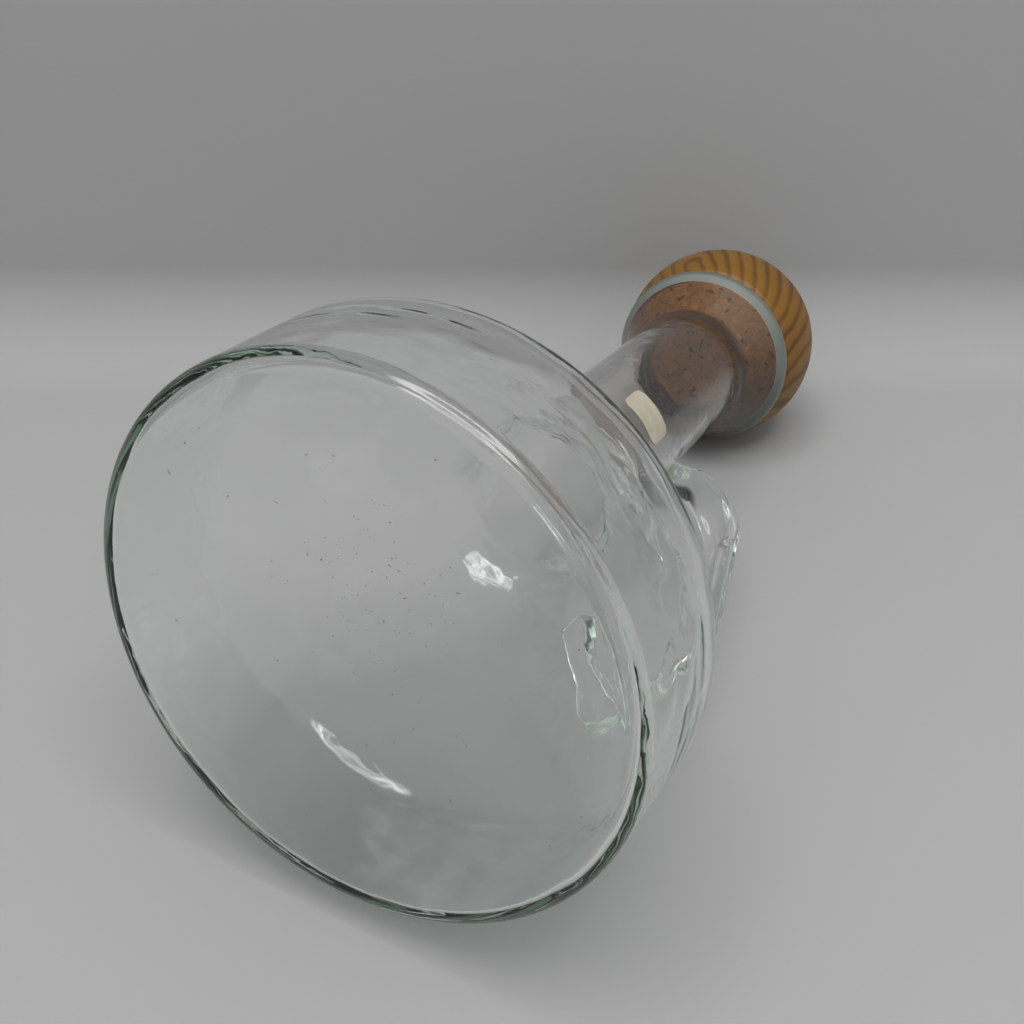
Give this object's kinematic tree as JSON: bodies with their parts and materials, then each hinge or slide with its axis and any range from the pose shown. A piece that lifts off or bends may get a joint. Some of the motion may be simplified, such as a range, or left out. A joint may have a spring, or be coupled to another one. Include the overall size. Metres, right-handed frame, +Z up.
{
  "type": "stoppered glass carafe",
  "caption": "Squat clear glass carafe with a conical shoulder, slim flared neck, applied strap handle, and a wooden ball stopper on a cork plug.",
  "frame": {"origin": "centre of the plane that the base rests on", "axes": "+Z up the vessel's axis from the base to the stopper, +X from the axis towards the handle"},
  "size_m": [0.1319, 0.1318, 0.2634],
  "materials": {
    "clear_glass": "clear hand-worked glass with a faint green edge tint",
    "label_paper": "matt uncoated paper",
    "cork": "fine agglomerated cork, matt",
    "oiled_wood": "turned and oiled, clear growth rings",
    "dowel_wood": "plain dowel"
  },
  "bodies": {
    "vessel": {"glass_body": "clear_glass", "handle": "clear_glass", "label": "label_paper"},
    "stopper": {"cork": "cork", "wooden_ball": "oiled_wood", "dowel": "dowel_wood"}
  },
  "joints": [
    {"name": "stopper_lift", "type": "slide", "parent": "vessel", "child": "stopper", "axis": [0, 0, 1], "range_m": [0, 0.06]}
  ]
}
